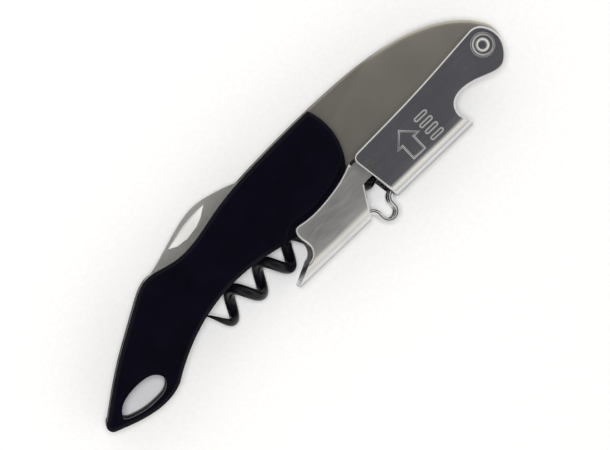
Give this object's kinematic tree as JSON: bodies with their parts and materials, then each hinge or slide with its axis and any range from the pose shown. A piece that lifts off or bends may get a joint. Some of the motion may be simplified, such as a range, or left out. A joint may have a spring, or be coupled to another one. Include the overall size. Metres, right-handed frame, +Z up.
{
  "type": "waiters corkscrew",
  "caption": "Folded waiter's corkscrew: curved handle with soft black grips and a satin metal head, double-hinged pressed lever, black worm and foil blade.",
  "frame": {"origin": "middle of the footprint of the folded corkscrew lying on its side, on the surface it rests on", "axes": "+X from the tail to the head, +Y from the levers to the blade, +Z up through the thickness"},
  "size_m": [0.1233, 0.0332, 0.0144],
  "materials": {
    "satin_nickel": "warm satin nickel, fine bead blast",
    "soft_grip": "soft-touch black with a faint blue cast",
    "inner_frame": "matt black moulding",
    "spacer_metal": "satin",
    "fastener_steel": "turned steel",
    "blade_steel": "brushed along the blade",
    "washer_brass": "turned brass",
    "spring_steel": "bright spring wire",
    "worm_coating": "black non-stick coating",
    "polished_lever": "polished nickel with bright cut edges",
    "brushed_lever": "finely brushed with bright cut edges",
    "pivot_steel": "polished"
  },
  "bodies": {
    "handle": {"body_half_near": "satin_nickel", "body_half_far": "satin_nickel", "grip_near": "soft_grip", "grip_far": "soft_grip", "blade_liner_near": "inner_frame", "blade_liner_far": "inner_frame", "tail_spacer": "inner_frame", "head_spacer": "spacer_metal", "handle_rivets": "fastener_steel", "head_dowels": "fastener_steel", "blade_pin": "fastener_steel", "blade_washers": "washer_brass", "blade_spring": "spring_steel", "pivot_sleeve": "fastener_steel"},
    "foil_blade": {"blade": "blade_steel"},
    "worm_assembly": {"worm": "worm_coating", "worm_barrel": "fastener_steel", "worm_washers": "washer_brass"},
    "lever_one": {"first_lever": "polished_lever", "lever_hinge_rivets": "fastener_steel", "main_pivot_pin": "pivot_steel", "pivot_rings": "pivot_steel", "lever_spring": "spring_steel", "spring_clip": "spring_steel"},
    "lever_two": {"second_lever": "brushed_lever"}
  },
  "joints": [
    {"name": "main_lever_hinge", "type": "hinge", "parent": "handle", "child": "lever_one", "pos_m": [0.0569, -0.00144, 0.007], "axis": [0, 0, 1], "range_deg": [0, 170]},
    {"name": "second_lever_hinge", "type": "hinge", "parent": "lever_one", "child": "lever_two", "pos_m": [0.0205, -0.00324, 0.007], "axis": [0, 0, 1], "range_deg": [0, 34], "stiffness_Nm_per_rad": 0.05, "deforming": ["lever_spring"]},
    {"name": "worm_hinge", "type": "hinge", "parent": "handle", "child": "worm_assembly", "pos_m": [0.0268, -0.00541, 0.007], "axis": [0, 0, 1], "range_deg": [0, 94]},
    {"name": "blade_hinge", "type": "hinge", "parent": "handle", "child": "foil_blade", "pos_m": [-0.0322, 0.00776, 0.007], "axis": [0, 0, 1], "range_deg": [0, 165]}
  ],
  "couplings": [
    {"joint": "worm_hinge", "follows": "main_lever_hinge", "ratio": 0.55}
  ]
}
